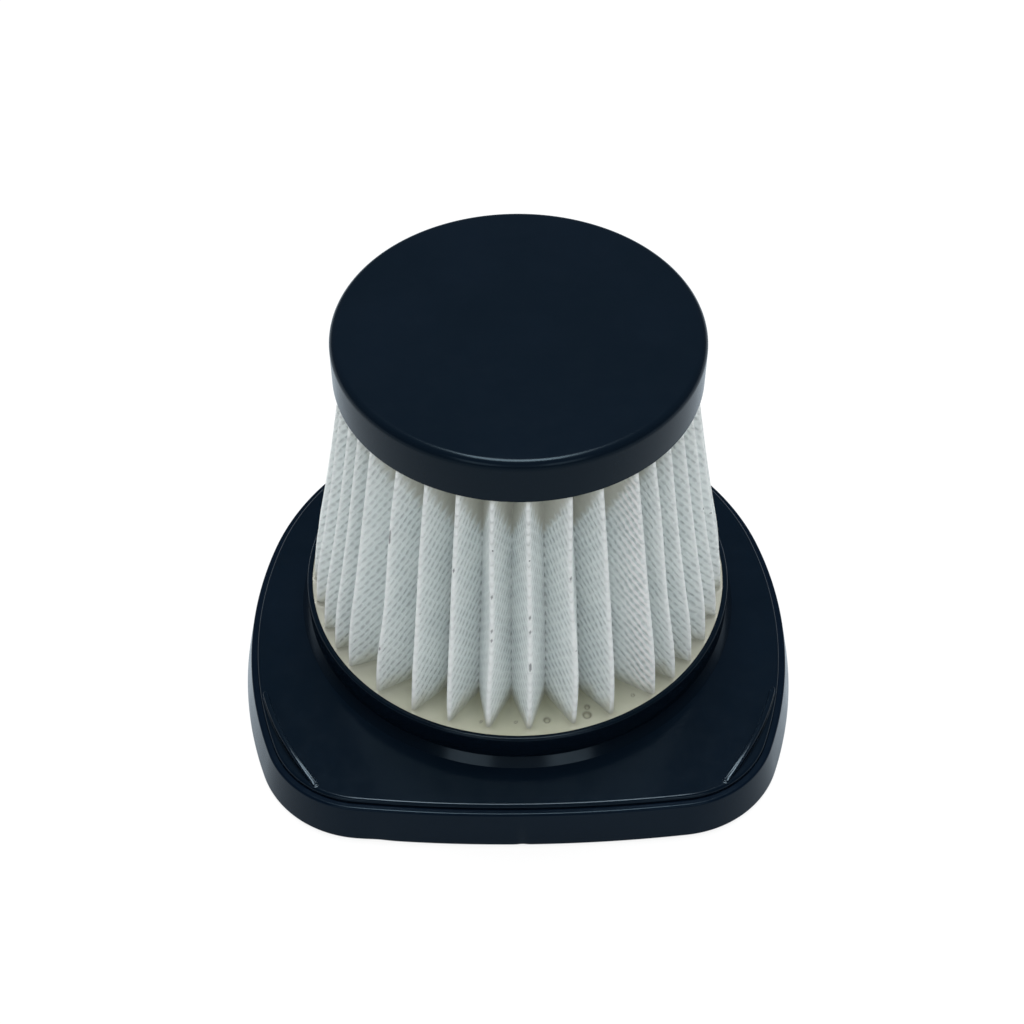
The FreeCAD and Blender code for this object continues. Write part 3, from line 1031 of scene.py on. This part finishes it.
def make_camera():
    """Camera at the photograph's place, turned and shifted to its frame."""
    data = bpy.data.cameras.new("camera")
    camera = bpy.data.objects.new("camera", data)
    bpy.context.scene.collection.objects.link(camera)
    forward = (CAMERA_AIM - CAMERA_AT).normalized()
    level_right = forward.cross(Vector((0, 0, 1))).normalized()
    level_up = level_right.cross(forward)
    right = level_right * cos(CAMERA_ROLL) + level_up * sin(CAMERA_ROLL)
    up = right.cross(forward)
    turn = Matrix((right, up, -forward)).transposed().to_4x4()
    camera.matrix_world = Matrix.Translation(CAMERA_AT) @ turn
    data.lens = CAMERA_LENS
    data.sensor_width = CAMERA_SENSOR
    data.shift_x, data.shift_y = CAMERA_SHIFT
    data.clip_start = CAMERA_NEAR
    bpy.context.scene.camera = camera


def floor_material():
    """White that keeps a soft share of the shadow, and is clear when seen from below."""
    material, add = new_material("white_floor")
    path = add("ShaderNodeLightPath")
    mirrored = path.outputs["Is Glossy Ray"]
    seen = math_node(add, "MAXIMUM", path.outputs["Is Camera Ray"], mirrored)
    seen = math_node(add, "MAXIMUM", seen, path.outputs["Is Transmission Ray"])
    diffuse = add("ShaderNodeBsdfDiffuse", {"Color": FLOOR_COLOUR})
    tone = mix_colour(add, mirrored, WHITE, FLOOR_MIRRORED)
    glow = add("ShaderNodeEmission", {"Color": tone, "Strength": 1.0})
    share = product(add, seen, FLOOR_GLOW)
    mixed = add("ShaderNodeMixShader", {0: share, 1: diffuse.outputs[0], 2: glow.outputs[0]})
    below = add("ShaderNodeNewGeometry").outputs["Backfacing"]
    clear = add("ShaderNodeBsdfTransparent")
    sided = add("ShaderNodeMixShader", {0: below, 1: mixed.outputs[0], 2: clear.outputs[0]})
    add("ShaderNodeOutputMaterial", {"Surface": sided.outputs[0]})
    return material


def make_floor():
    """Wide white floor just under the filter."""
    mesh = bpy.data.meshes.new("floor")
    signs = ((-1, -1), (1, -1), (1, 1), (-1, 1))
    corners = [(x * FLOOR_REACH, y * FLOOR_REACH, FLOOR_Z) for x, y in signs]
    mesh.from_pydata(corners, [], [(0, 1, 2, 3)])
    mesh.materials.append(floor_material())
    floor = bpy.data.objects.new("floor", mesh)
    bpy.context.scene.collection.objects.link(floor)


def make_lamp():
    """Overhead softbox, a little behind the filter and facing it."""
    data = bpy.data.lights.new("softbox", "AREA")
    data.shape = "RECTANGLE"
    data.size = LAMP_WIDTH
    data.size_y = LAMP_DEPTH
    data.energy = LAMP_ENERGY
    lamp = bpy.data.objects.new("softbox", data)
    lamp.location = LAMP_AT
    lamp.rotation_euler = (-atan2(LAMP_AT.y, LAMP_AT.z), 0, 0)
    bpy.context.scene.collection.objects.link(lamp)


def make_room():
    """Dim even room, which mirror reflections see darker and with a soft window in front."""
    world = bpy.data.worlds.new("room")
    bpy.context.scene.world = world
    world.use_nodes = True
    world.node_tree.nodes.clear()
    add = node_maker(world)
    way = add("ShaderNodeSeparateXYZ", {0: add("ShaderNodeTexCoord").outputs["Generated"]})
    front = ramp(add, way.outputs["Y"], *FRONT_FADE, 1.0, 0.0)
    aside = math_node(add, "ABSOLUTE", way.outputs["X"])
    window = product(
        add,
        ramp(add, aside, *WINDOW_SIDE_EDGE, 1.0, 0.0),
        ramp(add, aside, *WINDOW_MIDDLE_EDGE, WINDOW_MIDDLE, 1.0),
        front,
        ramp(add, way.outputs["Z"], *WINDOW_LOW_EDGE),
        ramp(add, way.outputs["Z"], *WINDOW_HIGH_EDGE, 1.0, 0.0),
    )
    walls = ramp(add, front, 0.0, 1.0, MIRRORED_BACK, MIRRORED_FRONT)
    mirrored = ramp(add, window, 0.0, 1.0, walls, WINDOW_LIGHT)
    is_mirrored = add("ShaderNodeLightPath").outputs["Is Glossy Ray"]
    strength = ramp(add, is_mirrored, 0.0, 1.0, ROOM_LIGHT, mirrored)
    background = add("ShaderNodeBackground", {"Color": ROOM_COLOUR, "Strength": strength})
    add("ShaderNodeOutputWorld", {"Surface": background.outputs[0]})


make_seal(seal_black())
make_base(gloss_black())
make_cap(satin_black())
resin = cream_resin()
make_lower_resin(resin)
make_upper_resin(resin)
make_media(white_media())
make_floor()
make_lamp()
make_room()
make_camera()
bpy.context.scene.view_settings.view_transform = "Standard"
